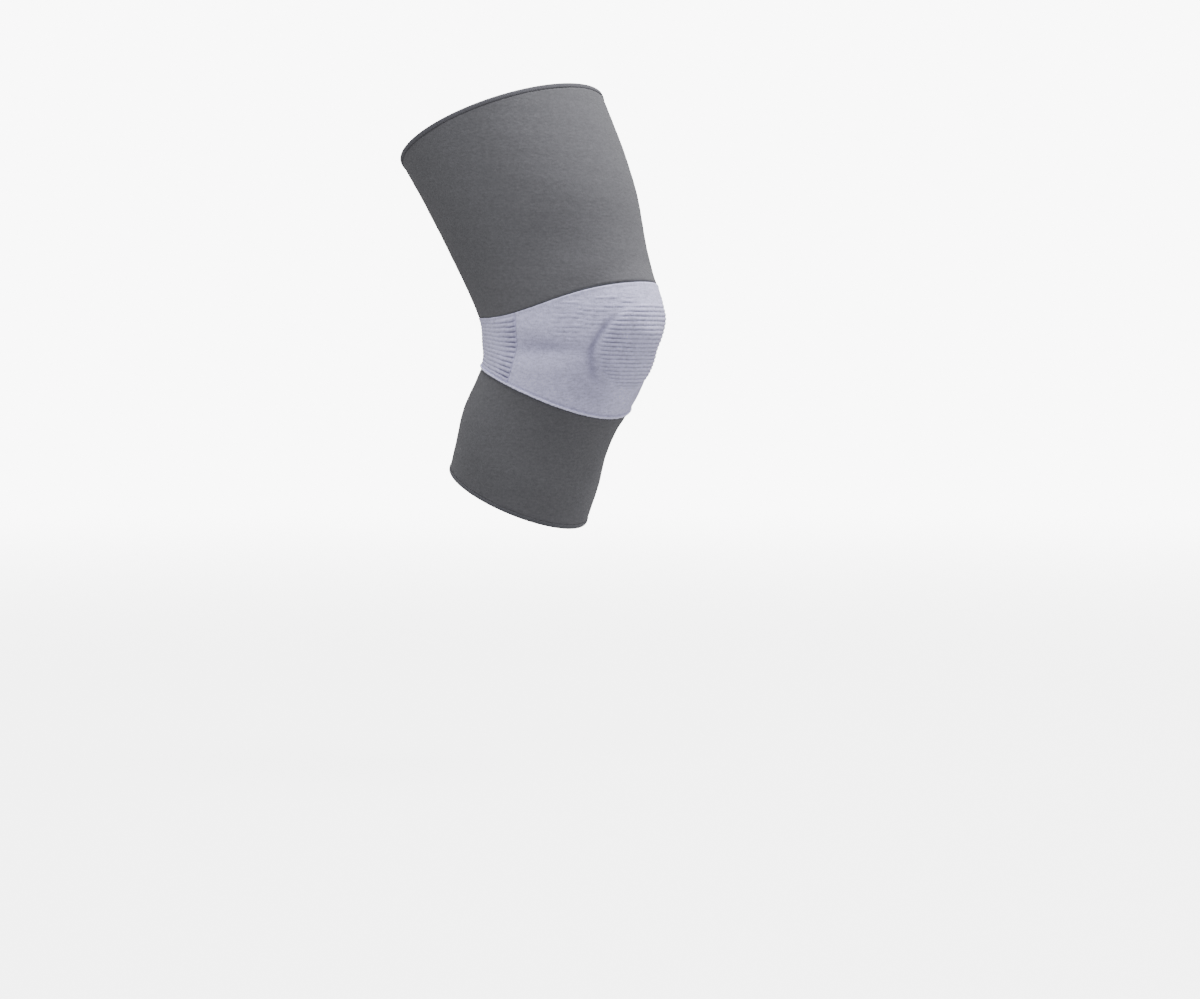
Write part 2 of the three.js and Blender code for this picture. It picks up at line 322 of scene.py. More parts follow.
def painted_shade_round_pad(u, height):
    """From 0 to 1: painted shade on the cloth round the pad's lower half, which is made darker there."""
    line = 0.95 + 0.3 * (1 - smooth(height, -40, -8))
    beside = smooth_turn(turn_from_front(u), 6, 26) * (1 - smooth(height, -12, 6))
    return bell(pad_distance(u, height), line, 0.3) * beside


def broken_up(turn, phase):
    """From 0 to 1: how much of each rib is left where the ribs come and go in short runs."""
    rib = np.floor(phase)
    runs = np.sin(13 * turn + 2.3 * rib) + 0.8 * np.sin(37 * turn + 1.9 * rib)
    return smooth(runs, -0.7, 0.8)


def loose_floats(turn, height, phase):
    """From 0 to 1: short runs of rib above the outer corners of the pad."""
    where = smooth_turn(turn, 8, 16) * (1 - smooth_turn(turn, 30, 44))
    return where * smooth(height, 18, 23) * (1 - smooth(height, 28, 32)) * broken_up(turn, phase)


def unevenness(u, height):
    """Slow variation from -1 to 1, the same each time."""
    return (np.sin(5.3 * u + 0.21 * height) * 0.4 + np.sin(11.7 * u - 0.13 * height + 1.3) * 0.3
            + np.sin(3.1 * u + 0.57 * height + 4.1) * 0.3)


def squares(rows, columns):
    """Rows and columns at the four corners of every square of a grid."""
    r, c = (a.ravel() for a in np.indices((rows, columns)))
    return [(r, c), (r, c + 1), (r + 1, c + 1), (r + 1, c)]


class WallMesh:
    """A closed piece of cloth from an outer and an inner skin, with its knit UV and rib attributes."""

    def __init__(self, name, outer, inner, closed, stitches, ridge=None):
        self.name, self.outer, self.inner, self.closed = name, outer, inner, closed
        self.stitches, self.ridge = stitches, ridge
        self.width = outer.shape[1]
        self.columns = self.width if closed else self.width - 1
        self.stride = (outer.shape[0] - 1) // (inner.shape[0] - 1)

    def corner(self, inside, row, column):
        """Vertex index and stitch coordinates of a corner of a skin."""
        start = self.outer.shape[0] * self.width if inside else 0
        uv_row = row * self.stride if inside else row
        return start + row * self.width + column % self.width, self.stitches[uv_row, column]

    def skin_faces(self, inside):
        """Squares of one skin."""
        rows = (self.inner if inside else self.outer).shape[0] - 1
        order = squares(rows, self.columns)
        if inside:
            order.reverse()
        return [self.corner(inside, *rc) for rc in order]

    def rim_faces(self, top):
        """Squares that join the skins along the top or the bottom."""
        c = np.arange(self.columns)
        out_row = np.full_like(c, self.outer.shape[0] - 1 if top else 0)
        in_row = np.full_like(c, self.inner.shape[0] - 1 if top else 0)
        order = [(False, out_row, c), (True, in_row, c), (True, in_row, c + 1), (False, out_row, c + 1)]
        if top:
            order.reverse()
        return [self.corner(*irc) for irc in order]

    def seam_faces(self, last):
        """Triangles that close a side edge where the inner skin has fewer rows."""
        column = np.array([self.columns if last else 0])
        triangles = []
        for j in range(self.inner.shape[0] - 1):
            low, high = j * self.stride, (j + 1) * self.stride
            triangles += [((True, j), (False, i), (False, i + 1)) for i in range(low, high)]
            triangles.append(((True, j), (False, high), (True, j + 1)))
        corners = []
        for k in ((0, 2, 1) if last else (0, 1, 2)):
            picked = [self.corner(t[k][0], np.array([t[k][1]]), column) for t in triangles]
            corners.append(tuple(np.concatenate([p[i] for p in picked]) for i in (0, 1)))
        return corners

    def build(self):
        """The finished mesh, in metres."""
        groups = [self.skin_faces(False), self.skin_faces(True), self.rim_faces(False), self.rim_faces(True)]
        if not self.closed:
            groups += [self.seam_faces(False), self.seam_faces(True)]
        points = np.concatenate([self.outer.reshape(-1, 3), self.inner.reshape(-1, 3)]) * MM
        mesh = mesh_of(self.name, points, [np.stack([c[0] for c in g], 1) for g in groups])
        uv = mesh.uv_layers.new(name=KNIT_UV)
        flat = np.concatenate([np.stack([c[1] for c in g], 1).reshape(-1, 2) for g in groups])
        uv.data.foreach_set("uv", flat.astype(np.float32).ravel())
        inner_zeros = np.zeros(self.inner.shape[0] * self.width)
        for name, values in (self.ridge or {}).items():
            mark = mesh.attributes.new(name, "FLOAT", "POINT")
            mark.data.foreach_set(
                "value", np.concatenate([values.ravel(), inner_zeros]).astype(np.float32))
        return mesh


def mesh_of(name, points, face_groups):
    """A smooth-shaded mesh from points in metres and groups of faces with equal corner counts."""
    mesh = bpy.data.meshes.new(name)
    corners = np.concatenate([g.ravel() for g in face_groups]).astype(np.int32)
    sizes = np.concatenate([np.full(len(g), g.shape[1]) for g in face_groups]).astype(np.int32)
    mesh.vertices.add(len(points))
    mesh.vertices.foreach_set("co", points.astype(np.float32).ravel())
    mesh.loops.add(len(corners))
    mesh.loops.foreach_set("vertex_index", corners)
    mesh.polygons.add(len(sizes))
    mesh.polygons.foreach_set("loop_start", (np.cumsum(sizes) - sizes).astype(np.int32))
    mesh.polygons.foreach_set("use_smooth", np.ones(len(sizes), bool))
    mesh.update(calc_edges=True)
    return mesh


def new_object(name, data):
    """An object in the scene that holds a mesh, a light or a camera."""
    obj = bpy.data.objects.new(name, data)
    bpy.context.scene.collection.objects.link(obj)
    return obj


def facing(name, data, place, target):
    """A light or camera that stands at a place and faces a target."""
    obj = new_object(name, data)
    obj.location = place
    obj.rotation_euler = (target - place).to_track_quat("-Z", "Y").to_euler()
    return obj


def dress(obj, material, node=None):
    """Gives a finished piece its material and body, and hides the solid it stands for."""
    obj.data.materials.clear()
    obj.data.materials.append(material)
    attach(obj, BODY)
    if node:
        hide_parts(node)


# Node trees.


def made_once(name, make):
    """A node group by its name, made when it is first asked for."""
    return bpy.data.node_groups.get(name) or make()


def node_of(tree, kind, inputs=None, **settings):
    """A node with its settings and its input values or links."""
    node = tree.nodes.new(kind)
    for name, value in settings.items():
        setattr(node, name, value)
    for name, value in (inputs or {}).items():
        socket = node.inputs[name]
        if isinstance(value, bpy.types.NodeSocket):
            tree.links.new(value, socket)
        else:
            socket.default_value = value
    return node


def maths(tree, operation, *values):
    """The output of a Math node."""
    return node_of(tree, "ShaderNodeMath", dict(enumerate(values)), operation=operation).outputs[0]


def attribute(tree, name, kind="FLOAT"):
    """The output that reads a named attribute of the mesh."""
    return node_of(tree, "GeometryNodeInputNamedAttribute", {"Name": name}, data_type=kind).outputs[0]


def geometry_tree(name, inputs):
    """An empty Geometry Nodes tree and its inputs, given as names with their kinds of socket."""
    tree = bpy.data.node_groups.new(name, "GeometryNodeTree")
    for label, kind in {"Geometry": "Geometry", **inputs}.items():
        tree.interface.new_socket(name=label, in_out="INPUT", socket_type=f"NodeSocket{kind}")
    tree.interface.new_socket(name="Geometry", in_out="OUTPUT", socket_type="NodeSocketGeometry")
    return tree, tree.nodes.new("NodeGroupInput").outputs


def finish_tree(tree, geometry, material):
    """Ends a tree in Realize Instances and Set Material."""
    real = node_of(tree, "GeometryNodeRealizeInstances", {"Geometry": geometry})
    finished = node_of(tree, "GeometryNodeSetMaterial", {"Geometry": real.outputs[0], "Material": material})
    node_of(tree, "NodeGroupOutput", {0: finished.outputs[0]})


def run_tree(obj, tree, values):
    """Runs a tree on an object with values given by input name, and keeps the result as its mesh."""
    modifier = obj.modifiers.new(tree.name, "NODES")
    modifier.node_group = tree
    sockets = {s.name: s.identifier for s in tree.interface.items_tree if s.in_out == "INPUT"}
    for name, value in values.items():
        modifier[sockets[name]] = value
    graph = bpy.context.evaluated_depsgraph_get()
    mesh = bpy.data.meshes.new_from_object(
        obj.evaluated_get(graph), preserve_all_data_layers=True, depsgraph=graph)
    obj.modifiers.clear()
    mesh.name = obj.name
    obj.data = mesh


def knit_rib_tree():
    """Lifts ridges where ridge_phase and ridge_share say, and stores as groove a painted shade, from how deep
    each groove is and from the channel attribute.
    """
    tree, given = geometry_tree(
        "Knit ribs", {"Rib Depth": "Float", "Rib Roundness": "Float", "Material": "Material"})
    calc = partial(maths, tree)
    share = attribute(tree, "ridge_share")
    turn = calc("MULTIPLY", calc("FRACT", attribute(tree, "ridge_phase")), pi)
    crest = calc("POWER", calc("MAXIMUM", calc("SINE", turn), 0.0), given["Rib Roundness"])
    lift = calc("MULTIPLY", calc("MULTIPLY", crest, share), given["Rib Depth"])
    normal = tree.nodes.new("GeometryNodeInputNormal").outputs[0]
    offset = node_of(tree, "ShaderNodeVectorMath", {0: normal, "Scale": lift}, operation="SCALE").outputs[0]
    # Painted shade between the ribs. It goes into the groove attribute together with the painted shade that
    # the channel attribute carries.
    painted_rib_shade = calc("MULTIPLY", calc("POWER", calc("SUBTRACT", 1.0, crest), 1.2), share)
    groove = calc("MAXIMUM", painted_rib_shade, attribute(tree, "channel"))
    stored = node_of(tree, "GeometryNodeStoreNamedAttribute",
                     {"Geometry": given["Geometry"], "Name": "groove", "Value": groove},
                     data_type="FLOAT", domain="POINT").outputs[0]
    moved = node_of(tree, "GeometryNodeSetPosition", {"Geometry": stored, "Offset": offset}).outputs[0]
    finish_tree(tree, moved, given["Material"])
    return tree


def stitch_row_tree():
    """Lays small slanted stitches end to end along a line that carries the cloth's direction."""
    sizes = ("Pitch", "Length", "Width", "Height", "Slant", "Unevenness")
    tree, given = geometry_tree(
        "Stitch row", {**dict.fromkeys(sizes, "Float"), "Seed": "Int", "Material": "Material"})
    calc = partial(maths, tree)
    line = node_of(tree, "GeometryNodeMeshToCurve", {0: given["Geometry"]}).outputs[0]
    spaced = node_of(tree, "GeometryNodeResampleCurve", {"Curve": line, "Length": given["Pitch"]},
                     mode="LENGTH").outputs[0]
    out = attribute(tree, "cloth_normal", "FLOAT_VECTOR")
    tangent = tree.nodes.new("GeometryNodeInputTangent").outputs[0]
    upright = node_of(tree, "FunctionNodeAlignRotationToVector", {"Vector": out}, axis="Z").outputs[0]
    along = node_of(tree, "FunctionNodeAlignRotationToVector", {"Rotation": upright, "Vector": tangent},
                    axis="X", pivot_axis="Z").outputs[0]
    twist = node_of(tree, "ShaderNodeCombineXYZ", {"Z": given["Slant"]}).outputs[0]
    turned = node_of(tree, "FunctionNodeRotateRotation", {"Rotation": along, "Rotate By": twist},
                     rotation_space="LOCAL").outputs[0]
    size = node_of(tree, "ShaderNodeCombineXYZ",
                   {"X": given["Length"], "Y": given["Width"], "Z": given["Height"]}).outputs[0]
    low = calc("SUBTRACT", 1.0, given["Unevenness"])
    high = calc("ADD", 1.0, given["Unevenness"])
    vary = node_of(tree, "FunctionNodeRandomValue", {2: low, 3: high, "Seed": given["Seed"]},
                   data_type="FLOAT").outputs[1]
    scale = node_of(tree, "ShaderNodeVectorMath", {0: size, "Scale": vary}, operation="SCALE").outputs[0]
    bead = node_of(tree, "GeometryNodeMeshUVSphere", {"Segments": 8, "Rings": 6, "Radius": 0.5}).outputs[0]
    soft = node_of(tree, "GeometryNodeSetShadeSmooth", {"Geometry": bead}).outputs[0]
    row = node_of(tree, "GeometryNodeInstanceOnPoints",
                  {"Points": spaced, "Instance": soft, "Rotation": turned, "Scale": scale}).outputs[0]
    finish_tree(tree, row, given["Material"])
    return tree


# Materials.


def stitch_height_group():
    """A shader group: from stitch coordinates to the height of the V-shaped legs of a plain knit."""
    tree = bpy.data.node_groups.new("Knit stitch height", "ShaderNodeTree")
    tree.interface.new_socket(name="Stitches", in_out="INPUT", socket_type="NodeSocketVector")
    for label in ("Height", "Yarn"):
        tree.interface.new_socket(name=label, in_out="OUTPUT", socket_type="NodeSocketFloat")
    calc = partial(maths, tree)
    place = node_of(tree, "ShaderNodeSeparateXYZ", {0: tree.nodes.new("NodeGroupInput").outputs[0]}).outputs
    aside = calc("MULTIPLY", calc("ABSOLUTE", calc("SUBTRACT", calc("FRACT", place["X"]), 0.5)), 2.0)
    leg = calc("POWER", calc("SINE", calc("MULTIPLY", aside, pi)), 0.6)
    slanted = calc("FRACT", calc("SUBTRACT", place["Y"], calc("MULTIPLY", aside, 0.7)))
    loop = calc("POWER", calc("SINE", calc("MULTIPLY", slanted, pi)), 0.7)
    height = calc("MULTIPLY", leg, calc("ADD", 0.35, calc("MULTIPLY", loop, 0.65)))
    column = calc("FLOOR", calc("MULTIPLY", place["X"], 2.0))
    cell = node_of(tree, "ShaderNodeCombineXYZ", {"X": column, "Y": calc("FLOOR", place["Y"])}).outputs[0]
    yarn = node_of(tree, "ShaderNodeTexWhiteNoise", {"Vector": cell}, noise_dimensions="2D").outputs["Value"]
    node_of(tree, "NodeGroupOutput", {"Height": height, "Yarn": yarn})
    return tree


def ranged(tree, value, low, high):
    """A value from 0 to 1 mapped to low and high."""
    return maths(tree, "MULTIPLY_ADD", value, high - low, low)


def matte_material(name, values):
    """A material, its tree, its shader with these values, and the piece's Object coordinates."""
    material = bpy.data.materials.new(name)
    material.use_nodes = True
    tree = material.node_tree
    shader = tree.nodes["Principled BSDF"]
    for socket, value in {"Specular IOR Level": 0.25, **values}.items():
        shader.inputs[socket].default_value = value
    return material, tree, shader, tree.nodes.new("ShaderNodeTexCoord").outputs["Object"]


def noise(tree, place, scale, detail=2.0):
    """The value of a noise pattern."""
    inputs = {"Vector": place, "Scale": scale, "Detail": detail}
    return node_of(tree, "ShaderNodeTexNoise", inputs).outputs[0]


def bumped(tree, height, strength, distance, **more):
    """The normals that a pattern of heights gives."""
    inputs = {"Strength": strength, "Distance": distance, "Height": height, **more}
    return node_of(tree, "ShaderNodeBump", inputs).outputs[0]


def paint(tree, shader, colour, light, normal):
    """Gives a shader its colour, made lighter and darker by light, and its normals."""
    tint = node_of(tree, "ShaderNodeHueSaturation", {"Color": colour, "Value": light})
    tree.links.new(tint.outputs[0], shader.inputs["Base Color"])
    tree.links.new(normal, shader.inputs["Normal"])


def knit_material(name, colour, shade, melange, bump, sheen, grooves=False):
    """Plain knit: stitches in relief, yarns that differ a little, soft blotches and a cloth sheen."""
    material, tree, shader, place = matte_material(
        name, {"Roughness": 0.92, "Sheen Weight": sheen, "Sheen Roughness": 0.45})
    knit = node_of(tree, "ShaderNodeGroup", node_tree=made_once("Knit stitch height", stitch_height_group))
    tree.links.new(node_of(tree, "ShaderNodeUVMap", uv_map=KNIT_UV).outputs[0], knit.inputs[0])
    flat = node_of(tree, "ShaderNodeMapping", {"Vector": place, "Scale": (1.0, 1.0, 2.4)}).outputs[0]
    blotch = noise(tree, flat, 300.0)
    light = maths(tree, "MULTIPLY", ranged(tree, knit.outputs["Yarn"], 1 - melange, 1 + melange),
                  ranged(tree, blotch, 1 - 3.5 * melange, 1 + 3.5 * melange))
    light = maths(tree, "MULTIPLY", light, ranged(tree, noise(tree, place, 14.0), 0.94, 1.06))
    # Darker in the low parts of each stitch: painted shade between the stitch legs.
    light = maths(tree, "MULTIPLY", light, ranged(tree, knit.outputs["Height"], 0.86, 1.06))
    source = (*colour, 1)
    # With grooves, the groove attribute mixes in the shade colour. This is painted shade in the rib grooves
    # and in the other hollows that the channel attribute marks.
    if grooves:
        depth = node_of(tree, "ShaderNodeAttribute", attribute_name="groove").outputs["Fac"]
        source = node_of(tree, "ShaderNodeMix", {"Factor": depth, 6: source, 7: (*shade, 1)},
                         data_type="RGBA").outputs[2]
    lumps = bumped(tree, blotch, bump, 0.0006)
    paint(tree, shader, source, light, bumped(tree, knit.outputs["Height"], bump, 0.0003, Normal=lumps))
    return material


def yarn_material(name, colour, sheen):
    """Thread of the stitches: fine fibres on Object coordinates."""
    material, tree, shader, place = matte_material(name, {"Roughness": 0.9, "Sheen Weight": sheen})
    fibre = noise(tree, place, 2600.0)
    blotch = noise(tree, place, 300.0)
    light = maths(tree, "MULTIPLY", ranged(tree, fibre, 0.85, 1.15), ranged(tree, blotch, 0.88, 1.12))
    paint(tree, shader, (*colour, 1), light, bumped(tree, fibre, 0.4, 0.0001))
    return material


def pad_material(name, colour):
    """Soft rubbery pad: matte, faintly grained, with painted shade that makes it a little darker in its
    pores.
    """
    material, tree, shader, place = matte_material(name, {"Specular IOR Level": 0.5})
    grain = noise(tree, place, 900.0, 3.0)
    cloud = noise(tree, place, 60.0)
    light = maths(tree, "MULTIPLY", ranged(tree, grain, 0.9, 1.1), ranged(tree, cloud, 0.93, 1.07))
    paint(tree, shader, (*colour, 1), light, bumped(tree, grain, 0.25, 0.0002))
    tree.links.new(ranged(tree, grain, 0.5, 0.68), shader.inputs["Roughness"])
    return material


def floor_material(colour, glow, fade_from, fade_to):
    """Pale matte floor that thins out to its rim and looks bright without lighting what is over it."""
    material, tree, shader, place = matte_material("Pale floor", {
        "Base Color": (*colour, 1), "Emission Color": (1, 1, 1, 1), "Roughness": 0.95,
        "Specular IOR Level": 0.1})
    seen = tree.nodes.new("ShaderNodeLightPath").outputs["Is Camera Ray"]
    tree.links.new(maths(tree, "MULTIPLY", seen, glow), shader.inputs["Emission Strength"])
    away = node_of(tree, "ShaderNodeVectorMath", {0: place}, operation="LENGTH").outputs["Value"]
    thin = node_of(tree, "ShaderNodeMapRange", {"Value": away, "From Min": fade_from, "From Max": fade_to,
                                                "To Min": 1.0, "To Max": 0.0},
                   interpolation_type="SMOOTHSTEP")
    tree.links.new(thin.outputs[0], shader.inputs["Alpha"])
    return material


# Settings.


class SleeveKnit(bpy.types.PropertyGroup):
    """Sizes and colours of the knit."""

    rib_depth: FloatProperty(
        name="Rib depth", description="How far the pale ribs stand out",
        default=0.0007, min=0, unit="LENGTH")
    rib_roundness: FloatProperty(
        name="Rib roundness", description="Lower is a flatter rib with a narrower groove",
        default=0.8, min=0.2)
    wales: IntProperty(
        name="Wales", description="Columns of stitches round the sleeve", default=330, min=20)
    course_height: FloatProperty(
        name="Course height", description="Height of one row of stitches",
        default=0.0009, min=0.0001, unit="LENGTH")
    fineness: FloatProperty(
        name="Mesh size", description="Size of the fine mesh's faces",
        default=0.0014, min=0.0005, unit="LENGTH")
    grey: FloatVectorProperty(
        name="Grey knit", description="Colour of the thigh and calf sections", subtype="COLOR",
        default=(0.135, 0.135, 0.148))
    dark: FloatVectorProperty(
        name="Dark edge", description="Colour of the rolled edges", subtype="COLOR",
        default=(0.110, 0.110, 0.126))
    pale: FloatVectorProperty(
        name="Pale knit", description="Colour of the knee band", subtype="COLOR",
        default=(0.715, 0.700, 0.995))
    # Painted shade: the colour that the groove attribute mixes into the pale knit.
    pale_shade: FloatVectorProperty(
        name="Pale grooves", description="Colour between the ribs", subtype="COLOR",
        default=(0.200, 0.190, 0.335))
    pad: FloatVectorProperty(
        name="Soft ring", description="Colour of the kneecap ring", subtype="COLOR",
        default=(0.09, 0.09, 0.098))


class SleeveStage(bpy.types.PropertyGroup):
    """Floor, light and camera."""

    floor_drop: FloatProperty(
        name="Floor drop", description="Floor under the sleeve's lowest point",
        default=0.16, min=0, unit="LENGTH")
    key_power: FloatProperty(
        name="Key light", description="Power of the soft light at upper right",
        default=90.0, min=0, unit="POWER")
    fill_power: FloatProperty(
        name="Fill light", description="Power of the soft light over the camera",
        default=45.0, min=0, unit="POWER")
    side_power: FloatProperty(
        name="Side light", description="Power of the low soft light at the right", default=26.0, min=0,
        unit="POWER")
    room_light: FloatProperty(
        name="Room light", description="Strength of the even light all round", default=0.65, min=0)
    backdrop_light: FloatProperty(
        name="Backdrop", description="Brightness of the empty background", default=9.0, min=0)
    floor_glow: FloatProperty(
        name="Floor brightness", description="How much the floor is lifted towards white",
        default=5.0, min=0)
    azimuth: FloatProperty(
        name="Azimuth", description="Direction of the camera round the sleeve",
        default=radians(-52.3), subtype="ANGLE")
    elevation: FloatProperty(
        name="Elevation", description="Height angle of the camera",
        default=radians(-0.4), subtype="ANGLE")
    distance: FloatProperty(
        name="Distance", description="From the camera to the knee", default=1.9, min=0.1, unit="LENGTH")


def knit_settings():
    return bpy.context.scene.sleeve_knit


def shared_material(name, make, *values, **more):
    """A material by its name, made when it is first asked for."""
    return bpy.data.materials.get(name) or make(name, *values, **more)


def grey_knit():
    k = knit_settings()
    return shared_material("Grey knit", knit_material, k.grey, k.grey, 0.06, 0.35, 0.06)


def dark_knit():
    k = knit_settings()
    return shared_material("Dark edge knit", knit_material, k.dark, k.dark, 0.06, 0.4, 0.05)


def pale_knit():
    k = knit_settings()
    return shared_material("Pale knit", knit_material, k.pale, k.pale_shade, 0.1, 0.5, 0.3, grooves=True)


def stitch_grid(angles, height):
    """Stitch coordinates: wales round the sleeve, courses along the cloth."""
    k = knit_settings()
    turns = np.broadcast_to(angles * (k.wales / (2 * pi)), height.shape)
    return np.stack([turns, height * MM / k.course_height], -1)


def cloth_wall(name, angles, closed, rows_at, stride, extra, ridge=None):
    """A wall of cloth whose rows stand at the axis distances that rows_at gives for each angle."""
    along = rows_at(angles)
    lift = relief(angles, along)
    u = angles[:-1] if closed else angles
    full = along[:, :len(u)]
    outer = cloth_point(np.broadcast_to(u, full.shape), full,
                        (lift + extra(angles, along))[:, :len(u)])
    inside = full[::stride]
    inner = cloth_point(np.broadcast_to(u, inside.shape), inside, lift[::stride, :len(u)] - WALL)
    stitches = stitch_grid(angles, cloth_distance(angles, along))
    marks = None if ridge is None else {n: v[:, :len(u)] for n, v in ridge(angles, along).items()}
    return WallMesh(name, outer, inner, closed, stitches, marks).build()


def spread_rows(low, high, rows):
    """Rows that stand evenly between two lines round the sleeve."""
    share = np.linspace(0, 1, rows + 1)[:, None]
    return lambda u: low(u) * (1 - share) + high(u) * share


def line_at(value):
    """A level line at one place along the sleeve."""
    return lambda u: np.full_like(u, value)


def above_pale(u):
    return axis_distance(u, band_top(u) + 0.5 * JOIN_GAP)


def below_pale(u):
    return axis_distance(u, band_bottom(u) - 0.5 * JOIN_GAP)


def round_angles(columns):
    """Angles once round, starting at the back, the first repeated at the end."""
    return np.linspace(pi, 3 * pi, columns + 1)


def columns_for(length):
    """How many faces of the fine mesh's size fit in a length in millimetres."""
    return max(8, round(length * MM / knit_settings().fineness))


def round_wall(name, node, material, rows_at, stride, extra):
    """A piece of cloth that goes all round the sleeve."""
    angles = round_angles(4 * round(columns_for(WIDEST_GIRTH) / 4))
    obj = new_object(name, cloth_wall(name, angles, True, rows_at, stride, extra))
    dress(obj, material, node)
    return obj


def ribbed_wall(name, node, angles, rows_at, stride, extra, ridges, depth_share):
    """A piece of pale cloth with ribs, which stand out by a share of the set depth."""
    k = knit_settings()
    obj = new_object(name, cloth_wall(name, angles, False, rows_at, stride, extra, ridges))
    material = pale_knit()
    ribs = made_once("Knit ribs", knit_rib_tree)
    run_tree(obj, ribs, {"Rib Depth": depth_share * k.rib_depth, "Rib Roundness": k.rib_roundness,
                         "Material": material})
    dress(obj, material, node)
    return obj


def grey_section(name, node, low, high, sheet):
    """A plain grey tube of knit between two lines, with rows to suit its flat length."""
    rows = GREY_STRIDE * round(columns_for(sheet[1] / MM) / GREY_STRIDE)

    def soft_edges(u, along):
        height = cloth_distance(u, along)
        at_top, at_bottom = bell(height, band_top(u), 2.2), bell(height, band_bottom(u), 2.0)
        return 0.12 * unevenness(u, height) - 0.15 * at_top - 0.6 * at_bottom

    return round_wall(name, node, grey_knit(), spread_rows(low, high, rows), GREY_STRIDE,
                      soft_edges)


def rolled_edge(name, node, low, high):
    """A rolled edge: a swollen strip round the sleeve."""
    middle = 0.5 * (low + high)

    def swell(u, along):
        return EDGE_SWELL * np.sqrt(np.clip(1 - ((along - middle) / (0.5 * (high - low))) ** 2, 0.04, 1))

    rows_at = spread_rows(line_at(low), line_at(high), EDGE_ROWS)
    return round_wall(name, node, dark_knit(), rows_at, EDGE_ROWS, swell)


def stitch_row(name, line, lift, material, slot, **sizes):
    """A row of stitches along a line round the sleeve, given as axis distances for angles."""
    u = round_angles(LINE_POINTS)[:-1]
    along = line(u)
    points = cloth_point(u, along, relief(u, along) + lift) * MM
    normals = tube_normal(u, along)
    mesh = bpy.data.meshes.new(name)
    mesh.from_pydata([tuple(p) for p in points], [(i, (i + 1) % len(u)) for i in range(len(u))], [])
    direction = mesh.attributes.new("cloth_normal", "FLOAT_VECTOR", "POINT")
    direction.data.foreach_set("vector", normals.astype(np.float32).ravel())
    obj = new_object(name, mesh)
    run_tree(obj, made_once("Stitch row", stitch_row_tree), {"Material": material, "Seed": 7, **sizes})
    dress(obj, material)
    return obj


# Operators.


class SLEEVE_OT_grey_sections(bpy.types.Operator):
    """Plain grey knit of the thigh and calf sections"""

    bl_idname = "sleeve.grey_sections"
    bl_label = "Grey sections"

    def execute(self, context):
        top = line_at(THIGH_REACH - TOP_EDGE_HEIGHT - JOIN_GAP)
        thigh = grey_section("thigh_knit", "thigh_section", above_pale, top, THIGH_SHEET)
        bottom = line_at(-CALF_REACH + BOTTOM_EDGE_HEIGHT + JOIN_GAP)
        calf = grey_section("calf_knit", "calf_section", bottom, below_pale, CALF_SHEET)
        return {"FINISHED"}


class SLEEVE_OT_rolled_edges(bpy.types.Operator):
    """Dark rolled edges at the top and the bottom, with their overlock stitches"""

    bl_idname = "sleeve.rolled_edges"
    bl_label = "Rolled edges"

    def execute(self, context):
        thread = shared_material("Dark thread", yarn_material, knit_settings().dark, 0.2)
        lap = 2 * JOIN_GAP
        for place, node, low, high, seam in (
            ("top", "top_hem", THIGH_REACH - TOP_EDGE_HEIGHT - lap, THIGH_REACH, -JOIN_GAP),
            ("bottom", "bottom_hem", -CALF_REACH, -CALF_REACH + BOTTOM_EDGE_HEIGHT + lap, JOIN_GAP),
        ):
            rolled_edge(f"{place}_rolled_edge", node, low, high)
            stitch_row(
                f"{place}_edge_stitches", line_at(0.5 * (low + high) + 0.3 * seam), EDGE_SWELL - 0.25, thread,
                "dark_edge", Pitch=0.0012, Length=0.0012, Width=(high - low) * MM, Height=0.0006,
                Slant=radians(14), Unevenness=0.1)
        return {"FINISHED"}


